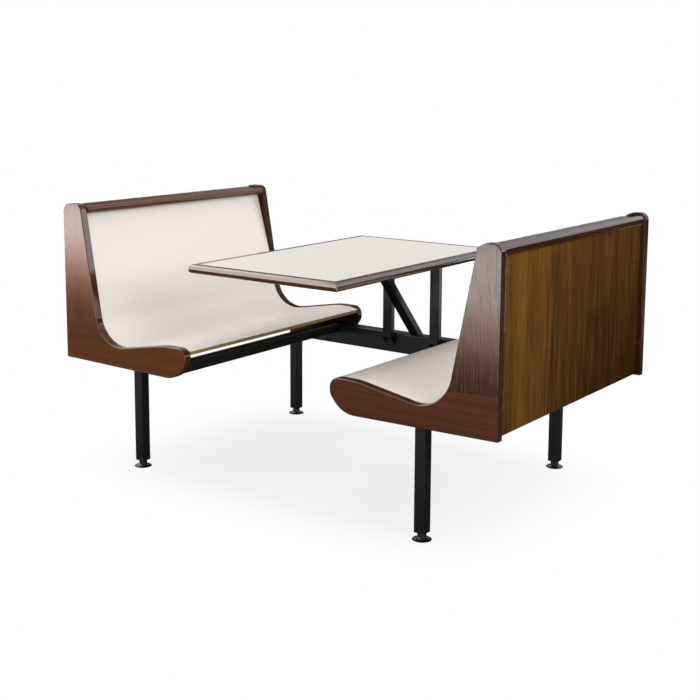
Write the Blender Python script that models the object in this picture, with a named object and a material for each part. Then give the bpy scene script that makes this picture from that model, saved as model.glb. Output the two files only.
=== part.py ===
# Restaurant booth: two facing benches and a cantilevered table on one welded steel frame.
# Metres, +Z up. X runs from bench to bench, Y from the aisle (-Y) to the wall (+Y), the floor is Z = 0.
# Each bench is modelled facing -X and parented to an empty, which is turned half round for the left bench.
import math

import bmesh
import bpy
from mathutils import Vector

# Clearances
fit_gap = 0.0003             # air between two pieces that touch
thread_gap = 0.0001          # air round the glide's screw

# Overall sizes
booth_length = 1.746         # over the backs of both benches
bench_width = 1.000          # over the end panels
bench_depth = 0.576          # from the nose of an end panel to its back edge

# End panel: outline corners and the radius that rounds each of them
panel_thickness = 0.029
panel_round = 0.003          # rounding of the panel's arrises
seat_height = 0.4695         # crest of the seat
back_rise = 0.448            # arched top above the crest
bottom_rise = 0.007          # how far the lower edge climbs to the back
head_depth = 0.077           # depth of the panel at its arched top
head_back_radius = 0.038
head_front_radius = 0.036
bight_depth = 0.174          # from the back edge to the corner between seat and back
bight_fall = 0.0538          # that corner below the crest
bight_radius = 0.090
crest_run = 0.098            # from the nose to the corner where the seat starts to fall
crest_radius = 0.250
nose_top_radius = 0.032
nose_drop = 0.041            # lower corner of the nose below the crest
nose_radius = 0.030
undercut_run = 0.051
undercut_radius = 0.110
panel_drop = 0.1085          # lower edge of the panel below the crest
joint_front_rise = 0.0723    # glue line between stile and seat board above the bight corner
joint_slope_rise = 0.012     # how far the glue line climbs to the back edge

# Seat and back shell
shell_thickness = 0.011
laminate = 0.0012
shell_proud = 0.001          # sitting face above the panel's edge where the seat dips
shell_front_setback = 0.0025  # from the panel's nose to the shell's front edge
shell_front_drop = 0.010     # fall of the shell from its crest to its front edge
shell_front_run = 0.035      # length of that fall
shell_front_radius = 0.080
lean_rise = 0.1855           # above this height over the crest the shell leans back behind the panel's edge
lean_back = 0.020            # how far it lies behind the panel's edge under the cap
lean_radius = 0.800

# Cap rail, back panel and hidden woodwork
cap_thickness = 0.029        # at its back
cap_drop = 0.0055            # cap's back below the top of the arch
cap_fall = 0.004             # how far the cap's top falls to its front
cap_overhang = 0.010         # cap in front of the panel's edge
cap_setback = 0.005          # cap inside the panel's back edge
cap_front_radius = 0.0118
cap_back_radius = 0.013
back_recess = 0.016
back_thickness = 0.016
back_lift = 0.0045
batten_height = 0.045
cleat_height = 0.011
cleat_width = 0.016
cleat_front_run = 0.080      # from the shell's front edge to the cleat's front end
cleat_top_drop = 0.030       # from the batten down to the cleat's upper end

# Steel frame of square and flat tube
tube = 0.0381
tube_wall = 0.002
tube_radius = 0.005
tie_height = 0.0254
front_rail_run = 0.058       # from the nose to the rail's front face
leg_run = 0.286              # from the nose to the leg's centre
aisle_leg_inset = 0.0793     # from the panel's outer face to the leg's centre
beam_clearance = 0.0022      # from the beam to the wall end panel
leg_bottom = 0.024
rear_rail_lift = 0.010
beam_height = 0.0762
beam_depth = 0.0508
beam_drop = 0.006            # beam's top below the rails' tops

# Table
table_height = 0.749
table_width = 0.610
table_length = 0.9745
table_edge_width = 0.025
table_edge_height = 0.029
table_core = 0.025
post_spacing = 0.208
post_depth = 0.029
post_foot_drop = 0.050       # from the beam's top to the tip of the post's slanted foot
post_foot_slant = 0.036      # height of that slant
plate_thickness = 0.005
plate_margin = 0.016         # plate beyond the tubes that it carries
brace_depth = 0.030
brace_angle = math.radians(41.5)
brace_setback = 0.001        # from the beam's aisle face to the brace

# Levelling glides
plug_height = 0.022
screw_radius = 0.005
screw_reach = 0.040          # screw above the leg's lower end
glide_radius = 0.030
glide_rim = 0.003
glide_dome = 0.0075          # height of the disc where it meets the hub
glide_hub_radius = 0.014

corner_step = math.radians(13)
turned_sides = 24

# Places that follow from the sizes
back_x = booth_length / 2
nose_x = back_x - bench_depth
half_width = bench_width / 2
inner_y = half_width - panel_thickness
back_top = seat_height + back_rise
bight_height = seat_height - bight_fall
panel_bottom = seat_height - panel_drop
back_bottom = panel_bottom + bottom_rise
leg_x = nose_x + leg_run
wall_leg_y = inner_y - beam_clearance - beam_depth / 2
aisle_leg_y = -half_width + aisle_leg_inset
beam_face_y = wall_leg_y - beam_depth / 2
cap_top = back_top - cap_drop
cap_bottom = cap_top - cap_thickness
head_front_x = back_x - head_depth
bight_x = back_x - bight_depth
crest_x = nose_x + crest_run
back_panel_x = back_x - back_recess - back_thickness
table_far_y = half_width
table_mid_y = table_far_y - table_length / 2
core_top = table_height - laminate - fit_gap
core_bottom = core_top - table_core
plate_top = core_bottom - fit_gap
plate_bottom = plate_top - plate_thickness


def clear_scene():
    for old in list(bpy.data.objects):
        bpy.data.objects.remove(old, do_unlink=True)


def make_material(name, color, roughness, metallic=0.0):
    material = bpy.data.materials.new(name)
    material.use_nodes = True
    shader = material.node_tree.nodes["Principled BSDF"]
    shader.inputs["Base Color"].default_value = (*color, 1.0)
    shader.inputs["Roughness"].default_value = roughness
    shader.inputs["Metallic"].default_value = metallic
    return material


def make_empty(name, turn=0.0):
    empty = bpy.data.objects.new(name, None)
    empty.rotation_euler = (0.0, 0.0, turn)
    bpy.context.scene.collection.objects.link(empty)
    return empty


def add_part(name, bm, material, parent, location=(0, 0, 0), rotation=(0, 0, 0)):
    bmesh.ops.recalc_face_normals(bm, faces=bm.faces)
    mesh = bpy.data.meshes.new(name)
    bm.to_mesh(mesh)
    bm.free()
    mesh.materials.append(material)
    mesh.shade_smooth()
    mesh.set_sharp_from_angle(angle=math.radians(35))
    part = bpy.data.objects.new(name, mesh)
    part.location = location
    part.rotation_euler = rotation
    part.parent = parent
    bpy.context.scene.collection.objects.link(part)
    return part


# Rounds the corners (x, z, radius) of a line of points; the ends of an open line stay as they are.
def round_corners(corners, closed=True):
    points = []
    count = len(corners)
    for index, (x, z, radius) in enumerate(corners):
        corner = Vector((x, z))
        at_end = not closed and index in (0, count - 1)
        if radius <= 0 or at_end:
            points.append(corner)
            continue
        before = Vector(corners[index - 1][:2]) - corner
        after = Vector(corners[(index + 1) % count][:2]) - corner
        turn = math.pi - before.angle(after)
        reach = radius * math.tan(turn / 2)
        fit = min(reach, before.length * 0.49, after.length * 0.49)
        radius = fit / math.tan(turn / 2)
        start = corner + before.normalized() * fit
        middle = (before.normalized() + after.normalized()).normalized()
        center = corner + middle * radius / math.cos(turn / 2)
        spoke = start - center
        side = 1 if before.x * after.y - before.y * after.x < 0 else -1
        steps = max(2, math.ceil(turn / corner_step))
        for step in range(steps + 1):
            angle = side * turn * step / steps
            arm = Vector((spoke.x * math.cos(angle) - spoke.y * math.sin(angle),
                          spoke.x * math.sin(angle) + spoke.y * math.cos(angle)))
            points.append(center + arm)
    return points


# Shifts an open line sideways, to the right of its direction.
def offset_line(points, distance):
    shifted = []
    for index, point in enumerate(points):
        ahead = points[min(index + 1, len(points) - 1)] - point
        behind = point - points[max(index - 1, 0)]
        if ahead.length == 0:
            ahead = behind
        if behind.length == 0:
            behind = ahead
        normal_a = Vector((ahead.y, -ahead.x)).normalized()
        normal_b = Vector((behind.y, -behind.x)).normalized()
        normal = (normal_a + normal_b).normalized()
        shifted.append(point + normal * distance / normal.dot(normal_a))
    return shifted


# Cuts an open line between two distances measured along it.
def trim_line(points, start, end):
    kept = []
    travelled = 0.0
    for first, second in zip(points, points[1:]):
        length = (second - first).length
        low = max(start, travelled)
        high = min(end, travelled + length)
        if low < high:
            if not kept:
                kept.append(first.lerp(second, (low - travelled) / length))
            kept.append(first.lerp(second, (high - travelled) / length))
        travelled += length
    return kept


def line_length(points):
    return sum((second - first).length for first, second in zip(points, points[1:]))


# A solid with the given outline in XZ, running along Y.
def extrude_outline(outline, y_start, y_end):
    bm = bmesh.new()
    face = bm.faces.new([bm.verts.new((x, y_start, z)) for x, z in outline])
    swept = bmesh.ops.extrude_face_region(bm, geom=[face])["geom"]
    moved = [item for item in swept if isinstance(item, bmesh.types.BMVert)]
    bmesh.ops.translate(bm, verts=moved, vec=(0, y_end - y_start, 0))
    bmesh.ops.recalc_face_normals(bm, faces=bm.faces)
    bm.verts.ensure_lookup_table()
    return bm


def rectangle(width, depth, radius):
    half_x = width / 2
    half_y = depth / 2
    corners = [(half_x, half_y, radius), (-half_x, half_y, radius),
               (-half_x, -half_y, radius), (half_x, -half_y, radius)]
    return round_corners(corners)


# A bar along Z with a hole through it; each end can be cut on a slant across Y.
def hollow_bar(outer, inner, length, start_slant=0.0, end_slant=0.0):
    bm = bmesh.new()
    outer_ring = [bm.verts.new((x, y, 0)) for x, y in outer]
    inner_ring = [bm.verts.new((x, y, 0)) for x, y in inner]
    count = len(outer_ring)
    faces = []
    for index in range(count):
        after = (index + 1) % count
        corners = (outer_ring[index], outer_ring[after], inner_ring[after], inner_ring[index])
        faces.append(bm.faces.new(corners))
    swept = bmesh.ops.extrude_face_region(bm, geom=faces)["geom"]
    top = [item for item in swept if isinstance(item, bmesh.types.BMVert)]
    for vert in bm.verts:
        slant = start_slant
        if vert in top:
            vert.co.z = length
            slant = end_slant
        vert.co.z += slant * vert.co.y
    return bm


# A round hole with as many points as the rectangle around it, lined up with its corners.
def hole_ring(radius, count):
    step = 2 * math.pi / count
    start = math.pi / 4 - (count / 4 - 1) / 2 * step
    return [(radius * math.cos(start + step * index), radius * math.sin(start + step * index))
            for index in range(count)]


def tube_bar(width, depth, length, start_slant=0.0, end_slant=0.0):
    outer = rectangle(width, depth, tube_radius)
    inner = rectangle(width - 2 * tube_wall, depth - 2 * tube_wall, tube_radius - tube_wall)
    return hollow_bar(outer, inner, length, start_slant, end_slant)


def box(size_x, size_y, size_z):
    bm = bmesh.new()
    bmesh.ops.create_cube(bm, size=1.0)
    bmesh.ops.scale(bm, verts=bm.verts, vec=(size_x, size_y, size_z))
    return bm


# A solid turned about Z from its profile (radius, z), which starts and ends on the axis.
def turned(profile):
    bm = bmesh.new()
    verts = [bm.verts.new((radius, 0, z)) for radius, z in profile]
    edges = [bm.edges.new(pair) for pair in zip(verts, verts[1:])]
    bmesh.ops.spin(bm, geom=verts + edges, cent=(0, 0, 0), axis=(0, 0, 1), angle=2 * math.pi,
                   steps=turned_sides)
    bmesh.ops.remove_doubles(bm, verts=bm.verts, dist=0.00001)
    return bm


# The end panel's whole outline, from its lower back corner up, over the arch, down to the seat and round
# the nose.
def panel_outline():
    return round_corners([
        (back_x, back_bottom, 0.0),
        (back_x, back_top, head_back_radius),
        (head_front_x, back_top, head_front_radius),
        (bight_x, bight_height, bight_radius),
        (crest_x, seat_height, crest_radius),
        (nose_x, seat_height, nose_top_radius),
        (nose_x, seat_height - nose_drop, nose_radius),
        (nose_x + undercut_run, panel_bottom, undercut_radius),
    ])


# X of the panel's raked front edge at a given height.
def rake_x(height):
    share = (height - bight_height) / (back_top - bight_height)
    return bight_x + (head_front_x - bight_x) * share


# The shell's sitting face, from its top end under the cap down and forward to its front edge.
def shell_line():
    top = cap_bottom - fit_gap
    lean_start = seat_height + lean_rise
    front_x = nose_x + shell_front_setback
    return round_corners([
        (rake_x(top) + lean_back, top, 0.0),
        (rake_x(lean_start), lean_start, lean_radius),
        (bight_x, bight_height + shell_proud, bight_radius),
        (crest_x, seat_height, crest_radius),
        (front_x + shell_front_run, seat_height, shell_front_radius),
        (front_x, seat_height - shell_front_drop, 0.0),
    ], closed=False)


# Top of the seat frame, which carries the cleats at the lowest point of the seat.
def rail_top():
    dip = min(point.y for point in shell_line())
    return dip - shell_thickness - cleat_height - 2 * fit_gap


# A sheet that lies between two depths below the sitting face. The line runs down the back and
# forward over the seat, so its left side is the hidden side.
def sheet_outline(line, near, far):
    return offset_line(line, -near) + offset_line(line, -far)[::-1]


# Splits the panel's outline along the glue line. Both halves end with the glued edge, which runs from
# their last point back to their first.
def split_outline():
    outline = panel_outline()
    height = bight_height + joint_front_rise
    drop = next(index for index in range(2, len(outline))
                if outline[index - 1].y > height >= outline[index].y)
    above = outline[drop - 1]
    below = outline[drop]
    glue = above.lerp(below, (above.y - height) / (above.y - below.y))
    lift = Vector((0, fit_gap / 2))
    back = Vector((back_x, height + joint_slope_rise))
    stile = [back + lift] + outline[1:drop] + [glue + lift]
    seat_board = [glue - lift] + outline[drop:] + [outline[0], back - lift]
    return {"stile": stile, "seat_board": seat_board}


def make_panel(prefix, place, y_outer, y_inner, bench):
    for part, outline in split_outline().items():
        bm = extrude_outline(outline, y_outer, y_inner)
        glued = {tuple(bm.verts[0].co.xz), tuple(bm.verts[len(outline) - 1].co.xz)}
        rims = []
        for edge in bm.edges:
            first, second = edge.verts
            if first.co.y == second.co.y and {tuple(first.co.xz), tuple(second.co.xz)} != glued:
                rims.append(edge)
        bmesh.ops.bevel(bm, geom=rims, offset=panel_round, segments=2, profile=0.5, affect="EDGES")
        add_part(f"{prefix}_{place}_{part}", bm, stained_wood, bench)


def make_shell(prefix, bench):
    line = shell_line()
    half = inner_y - fit_gap
    face = sheet_outline(line, 0.0, laminate)
    add_part(f"{prefix}_shell_laminate", extrude_outline(face, -half, half), cream_laminate, bench)
    ply = sheet_outline(line, laminate + fit_gap, shell_thickness)
    add_part(f"{prefix}_shell_ply", extrude_outline(ply, -half, half), plywood, bench)


def make_back(prefix, bench):
    half = inner_y - fit_gap
    cap_front = rake_x(cap_bottom) - cap_overhang
    cap_back = back_x - cap_setback
    cap = round_corners([
        (cap_back, cap_bottom, 0.0),
        (cap_back, cap_top, cap_back_radius),
        (cap_front, cap_top - cap_fall, cap_front_radius),
        (cap_front, cap_bottom, cap_front_radius),
    ])
    add_part(f"{prefix}_cap_rail", extrude_outline(cap, -half, half), stained_wood, bench)

    panel_low = back_bottom + back_lift
    panel_high = cap_bottom - fit_gap
    board = box(back_thickness, 2 * half, panel_high - panel_low)
    place = (back_panel_x + back_thickness / 2, 0, (panel_high + panel_low) / 2)
    add_part(f"{prefix}_back_panel", board, walnut_laminate, bench, place)

    line = offset_line(shell_line(), -shell_thickness - fit_gap)
    top = line[0]
    slope = (top.x - line[1].x) / (top.y - line[1].y)
    high = cap_bottom - fit_gap
    low = high - batten_height
    batten = [(top.x + slope * (high - top.y), high), (back_panel_x - fit_gap, high),
              (back_panel_x - fit_gap, low), (top.x + slope * (low - top.y), low)]
    add_part(f"{prefix}_top_batten", extrude_outline(batten, -half, half), raw_wood, bench)


def make_cleat(prefix, place, sign, bench):
    line = shell_line()
    end = line_length(line) - cleat_front_run
    part = trim_line(line, batten_height + cleat_top_drop, end)
    near = shell_thickness + fit_gap
    outline = sheet_outline(part, near, near + cleat_height)
    y_wall = sign * (inner_y - fit_gap)
    bm = extrude_outline(outline, y_wall, y_wall - sign * cleat_width)
    add_part(f"{prefix}_{place}_cleat", bm, raw_wood, bench)


# Rails run along Y between two distances, ties along X.
def make_rail(name, x_mid, z_mid, y_start, y_end, bench):
    low = min(y_start, y_end)
    bar = tube_bar(tube, tube, abs(y_end - y_start))
    add_part(name, bar, black_steel, bench, (x_mid, low, z_mid), (-math.pi / 2, 0, 0))


def make_tie(name, x_start, x_end, y_mid, bench):
    bar = tube_bar(tie_height, tube, x_end - x_start)
    z_mid = rail_top() - tube + tie_height / 2
    add_part(name, bar, black_steel, bench, (x_start, y_mid, z_mid), (0, math.pi / 2, 0))


def make_seat_frame(prefix, aisle, bench):
    aisle_end = aisle * (inner_y - fit_gap)
    wall_end = -aisle_end
    rail_z = rail_top() - tube / 2
    front_x = nose_x + front_rail_run + tube / 2
    rear_x = back_panel_x - fit_gap - tube / 2
    beam_side = -aisle * (beam_face_y - fit_gap)
    make_rail(f"{prefix}_front_rail", front_x, rail_z, aisle_end, beam_side, bench)
    make_rail(f"{prefix}_leg_rail", leg_x, rail_z, aisle_end, wall_end, bench)
    make_rail(f"{prefix}_rear_rail", rear_x, rail_z + rear_rail_lift, aisle_end, wall_end, bench)

    reach = tube / 2 + fit_gap
    aisle_y = -aisle * aisle_leg_y
    wall_y = -aisle * wall_leg_y
    make_tie(f"{prefix}_front_tie", front_x + reach, leg_x - reach, aisle_y, bench)
    make_tie(f"{prefix}_aisle_rear_tie", leg_x + reach, rear_x - reach, aisle_y, bench)
    make_tie(f"{prefix}_wall_rear_tie", leg_x + reach, rear_x - reach, wall_y, bench)
    make_leg(f"{prefix}_aisle", aisle_y, bench)
    make_leg(f"{prefix}_wall", wall_y, bench)


def make_leg(prefix, y, bench):
    length = rail_top() - tube - fit_gap - leg_bottom
    add_part(f"{prefix}_leg", tube_bar(tube, tube, length), black_steel, bench, (leg_x, y, leg_bottom))

    inside = tube - 2 * (tube_wall + fit_gap)
    outer = rectangle(inside, inside, tube_radius - tube_wall)
    plug = hollow_bar(outer, hole_ring(screw_radius + thread_gap, len(outer)), plug_height)
    add_part(f"{prefix}_plug", plug, black_plastic, bench, (leg_x, y, leg_bottom))

    hub_top = leg_bottom - fit_gap
    screw_top = leg_bottom + screw_reach
    glide = turned([
        (0, 0),
        (glide_radius - glide_rim / 2, 0),
        (glide_radius, glide_rim / 2),
        (glide_radius - glide_rim / 2, glide_rim),
        ((glide_radius + glide_hub_radius) / 2, (glide_rim + 2 * glide_dome) / 3),
        (glide_hub_radius, glide_dome),
        (glide_hub_radius, hub_top),
        (screw_radius, hub_top),
        (screw_radius, screw_top),
        (0, screw_top),
    ])
    add_part(f"{prefix}_glide", glide, polished_steel, bench, (leg_x, y, 0))


def make_bench(prefix, turn, aisle):
    bench = make_empty(f"{prefix}_bench", turn)
    for place, sign in (("aisle", aisle), ("wall", -aisle)):
        make_panel(prefix, place, sign * half_width, sign * inner_y, bench)
        make_cleat(prefix, place, sign, bench)
    make_shell(prefix, bench)
    make_back(prefix, bench)
    make_seat_frame(prefix, aisle, bench)


def make_pedestal():
    frame = make_empty("pedestal")
    beam_top = rail_top() - beam_drop
    beam_end = leg_x - tube / 2 - fit_gap
    beam = tube_bar(beam_height, beam_depth, 2 * beam_end)
    place = (-beam_end, wall_leg_y, beam_top - beam_height / 2)
    add_part("cross_beam", beam, black_steel, frame, place, (0, math.pi / 2, 0))

    post_y = beam_face_y - fit_gap - post_depth / 2
    foot = beam_top - post_foot_drop + post_foot_slant / 2
    slant = -post_foot_slant / post_depth
    top = plate_bottom - fit_gap
    for name, sign in (("left_post", -1), ("right_post", 1)):
        post = tube_bar(tube, post_depth, top - foot, start_slant=slant)
        add_part(name, post, black_steel, frame, (sign * post_spacing / 2, post_y, foot))
    plate = box(post_spacing + tube + 2 * plate_margin, post_depth + 2 * plate_margin, plate_thickness)
    plate_z = (plate_top + plate_bottom) / 2
    add_part("post_plate", plate, black_steel, frame, (0, post_y, plate_z))

    base_z = beam_top + fit_gap
    footprint = brace_depth / math.cos(brace_angle)
    base_y = beam_face_y + brace_setback + footprint / 2
    rise = top - base_z
    level = -math.tan(brace_angle)
    brace = tube_bar(tube, brace_depth, rise / math.cos(brace_angle), level, level)
    add_part("brace", brace, black_steel, frame, (0, base_y, base_z), (brace_angle, 0, 0))
    plate = box(tube + 2 * plate_margin, footprint + 2 * plate_margin, plate_thickness)
    head_y = base_y - rise * math.tan(brace_angle)
    add_part("brace_plate", plate, black_steel, frame, (0, head_y, plate_z))


# A wooden table edge along X with a round outer side and ends cut at 45 degrees.
def edge_strip(inner_length):
    half_height = table_edge_height / 2
    outline = round_corners([
        (0, -half_height, 0.0),
        (table_edge_width, -half_height, half_height),
        (table_edge_width, half_height, half_height),
        (0, half_height, 0.0),
    ])
    bm = bmesh.new()
    mitre_gap = fit_gap / 2
    start = [bm.verts.new((-inner_length / 2 - reach + mitre_gap, -reach, z)) for reach, z in outline]
    face = bm.faces.new(start)
    swept = bmesh.ops.extrude_face_region(bm, geom=[face])["geom"]
    for vert in swept:
        if isinstance(vert, bmesh.types.BMVert):
            vert.co.x = -vert.co.x
    return bm


def make_table():
    table = make_empty("table")
    inner_width = table_width - 2 * table_edge_width
    inner_length = table_length - 2 * table_edge_width
    core = box(inner_width - 2 * fit_gap, inner_length - 2 * fit_gap, table_core)
    add_part("table_core", core, raw_wood, table, (0, table_mid_y, core_top - table_core / 2))
    sheet = box(inner_width - 2 * fit_gap, inner_length - 2 * fit_gap, laminate)
    add_part("table_laminate", sheet, cream_laminate, table, (0, table_mid_y, table_height - laminate / 2))

    edge_z = table_height - table_edge_height / 2
    edges = (
        ("table_aisle_edge", inner_width, (0, table_mid_y - inner_length / 2), 0.0),
        ("table_right_edge", inner_length, (inner_width / 2, table_mid_y), math.pi / 2),
        ("table_wall_edge", inner_width, (0, table_mid_y + inner_length / 2), math.pi),
        ("table_left_edge", inner_length, (-inner_width / 2, table_mid_y), -math.pi / 2),
    )
    for name, length, (x, y), turn in edges:
        add_part(name, edge_strip(length), stained_wood, table, (x, y, edge_z), (0, 0, turn))


clear_scene()
stained_wood = make_material("stained_wood", (0.105, 0.035, 0.022), 0.35)
walnut_laminate = make_material("walnut_laminate", (0.135, 0.062, 0.021), 0.45)
cream_laminate = make_material("cream_laminate", (0.78, 0.75, 0.69), 0.5)
plywood = make_material("plywood", (0.12, 0.075, 0.03), 0.6)
raw_wood = make_material("raw_wood", (0.42, 0.28, 0.16), 0.7)
black_steel = make_material("black_steel", (0.012, 0.013, 0.012), 0.4)
black_plastic = make_material("black_plastic", (0.01, 0.01, 0.01), 0.35)
polished_steel = make_material("polished_steel", (0.35, 0.35, 0.34), 0.25, 1.0)

make_bench("right", 0.0, -1)
make_bench("left", math.pi, 1)
make_pedestal()
make_table()
print("booth parts:", sum(item.type == "MESH" for item in bpy.data.objects))
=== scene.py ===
import math

import bpy
from mathutils import Matrix, Vector


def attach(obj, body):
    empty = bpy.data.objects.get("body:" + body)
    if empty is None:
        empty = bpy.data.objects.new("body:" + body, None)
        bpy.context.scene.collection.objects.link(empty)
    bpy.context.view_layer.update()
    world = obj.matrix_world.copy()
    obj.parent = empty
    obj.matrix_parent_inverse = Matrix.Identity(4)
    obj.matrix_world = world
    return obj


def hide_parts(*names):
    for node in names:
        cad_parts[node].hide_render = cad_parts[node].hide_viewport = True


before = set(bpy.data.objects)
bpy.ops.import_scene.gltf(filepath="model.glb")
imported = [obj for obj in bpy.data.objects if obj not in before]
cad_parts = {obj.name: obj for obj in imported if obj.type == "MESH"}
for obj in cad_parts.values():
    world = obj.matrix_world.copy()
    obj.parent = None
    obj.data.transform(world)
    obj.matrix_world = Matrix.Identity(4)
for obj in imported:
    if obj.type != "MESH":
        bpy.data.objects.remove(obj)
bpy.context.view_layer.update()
print("frame loaded:", len(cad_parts), "nodes")

benches = (("right", 1), ("left", -1))    # name, and the way its back lies along X


# small tools

def hexLinear(code):
    channels = [int(code[i:i + 2], 16) / 255 for i in (1, 3, 5)]
    return tuple(c / 12.92 if c <= 0.04045 else ((c + 0.055) / 1.055) ** 2.4 for c in channels) + (1.0,)


def addNode(tree, kind, settings=None, links=None):
    node = tree.nodes.new(kind)
    for key, value in (settings or {}).items():
        if isinstance(key, int) or key in node.inputs:
            node.inputs[key].default_value = value
        else:
            setattr(node, key, value)
    for key, source in (links or {}).items():
        tree.links.new(source, node.inputs[key])
    return node


def newMaterial(name, settings):  # settings go on the shader's own sockets
    material = bpy.data.materials.new(name)
    material.use_nodes = True
    tree = material.node_tree
    shader = tree.nodes["Principled BSDF"]
    for key, value in settings.items():
        shader.inputs[key].default_value = value
    return material, tree, shader


def setRamp(ramp, stops):
    while len(ramp.color_ramp.elements) < len(stops):
        ramp.color_ramp.elements.new(0.5)
    for element, (place, code) in zip(ramp.color_ramp.elements, stops):
        element.position = place
        element.color = hexLinear(code)


def deselectAll():
    if bpy.context.object and bpy.context.object.mode != "OBJECT":
        bpy.ops.object.mode_set(mode="OBJECT")
    bpy.ops.object.select_all(action="DESELECT")


def pick(piece):
    deselectAll()
    bpy.context.view_layer.objects.active = piece
    piece.select_set(True)


def roundLine(corners, closed=True, arcStep=math.radians(5)):  # corners are (x, z, radius)
    points = []
    for i, (x, z, radius) in enumerate(corners):
        corner = Vector((x, z))
        if radius <= 0 or (not closed and i in (0, len(corners) - 1)):
            points.append(corner)
            continue
        back = (Vector(corners[i - 1][:2]) - corner).normalized()
        ahead = (Vector(corners[(i + 1) % len(corners)][:2]) - corner).normalized()
        turn = math.pi - back.angle(ahead)
        center = corner + (back + ahead).normalized() * radius / math.cos(turn / 2)
        spoke = corner + back * radius * math.tan(turn / 2) - center
        way = 1 if back.cross(ahead) < 0 else -1
        steps = max(2, math.ceil(turn / arcStep))
        for step in range(steps + 1):
            points.append(center + Matrix.Rotation(way * turn * step / steps, 2) @ spoke)
    return points


def offsetLine(points, distance):  # to the left of the line's direction
    moved = []
    for i, point in enumerate(points):
        ahead = points[min(i + 1, len(points) - 1)] - points[max(i - 1, 0)]
        moved.append(point + Vector((-ahead.y, ahead.x)).normalized() * distance)
    return moved


def mirrorLine(points, side):  # drawn for the right bench, turned over for the left
    return [(side * x, z) for x, z in points]


def extrudedBoard(name, points, yStart, yEnd):  # outline in XZ, pulled along Y
    deselectAll()
    bpy.ops.mesh.primitive_circle_add(vertices=len(points), fill_type="NGON")
    board = bpy.context.object
    board.name = name
    for vertex, (x, z) in zip(board.data.vertices, points):
        vertex.co = (x, yStart, z)
    bpy.ops.object.mode_set(mode="EDIT")
    bpy.ops.mesh.select_all(action="SELECT")
    bpy.ops.mesh.extrude_region_move(TRANSFORM_OT_translate={"value": (0, yEnd - yStart, 0)})
    bpy.ops.mesh.select_all(action="SELECT")
    bpy.ops.mesh.normals_make_consistent(inside=False)
    bpy.ops.object.mode_set(mode="OBJECT")
    return board


def startSelecting(kind):  # nothing is selected yet
    bpy.ops.object.mode_set(mode="EDIT")
    bpy.ops.mesh.select_mode(type=kind)
    bpy.ops.mesh.select_all(action="DESELECT")
    bpy.ops.object.mode_set(mode="OBJECT")


def selectEdges(piece, wanted):  # wanted gets the two ends of an edge
    startSelecting("EDGE")
    places = [vertex.co for vertex in piece.data.vertices]
    for edge in piece.data.edges:
        edge.select = wanted(places[edge.vertices[0]], places[edge.vertices[1]])
    bpy.ops.object.mode_set(mode="EDIT")


def selectFaces(piece, wanted):  # wanted gets the middle of a face
    startSelecting("FACE")
    for face in piece.data.polygons:
        face.select = wanted(face.center)
    bpy.ops.object.mode_set(mode="EDIT")


def cutAll(point, direction, **keep):  # slices the whole mesh, in edit mode
    bpy.ops.mesh.select_all(action="SELECT")
    bpy.ops.mesh.bisect(plane_co=point, plane_no=direction, **keep)


def roundRims(board, radius, segments, flat=1e-6):  # eases both flat faces' edges
    selectEdges(board, lambda a, b: abs(a.y - b.y) < flat)
    bpy.ops.mesh.bevel(offset=radius, segments=segments, affect="EDGES", clamp_overlap=True)
    bpy.ops.object.mode_set(mode="OBJECT")


def copyPiece(source, name):
    piece = source.copy()
    piece.data = source.data.copy()
    piece.name = name
    bpy.context.collection.objects.link(piece)
    piece.select_set(False)
    return piece


def finishPiece(piece, material, body, nodes=(), angle=40):
    pick(piece)
    bpy.ops.object.shade_smooth_by_angle(angle=math.radians(angle))
    bpy.ops.object.modifier_add(type="WEIGHTED_NORMAL")    # flat faces stay flat beside their rounded edges
    piece.modifiers[-1].keep_sharp = True
    bpy.ops.object.modifier_apply(modifier=piece.modifiers[-1].name)
    piece.data.materials.clear()
    piece.data.materials.append(material)
    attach(piece, body)
    if nodes:
        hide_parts(*nodes)


# materials

oak = {
    "plain": ("#3a2012", "#5a3520", "#6e4528"),    # dark, middle and light of each tone of the one stain
    # warm: the same stain lighter and warmer, partly a warmer hue and partly painted light
    "warm": ("#442411", "#683b1e", "#7e4c25"),
    # deep: the same stain darker, painted shade
    "deep": ("#23120a", "#392012", "#462b18"),
    "red": ("#391d13", "#593222", "#683f2a"),
    "edge": "#20120b",                             # sawn edges drink more stain
    "edgeFull": 0.3, "edgeNone": 0.8,              # how far a face looks along Y there
    "ringWidth": 0.011, "ringLength": 0.6,         # annual rings as the eye reads them on a board
    "ringSpread": 0.25,                            # from the middle tone to the dark or the light one
    "poreWidth": 0.0027, "poreLength": 0.08,       # real pores are 0.3 mm wide, drawn coarser to show
    "poreStart": 0.48, "poreOpen": 0.66,           # noise at which a pore starts and is wide open
    "poreDepth": 0.0004,
    "lacquer": 0.12, "poreDull": 0.16,             # roughness, and what an open pore adds to it
}


def grainScale(grain, width, length):  # long along the board's grain
    scale = [1 / width] * 3
    scale["XYZ".index(grain)] = 1 / length
    return scale


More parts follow.
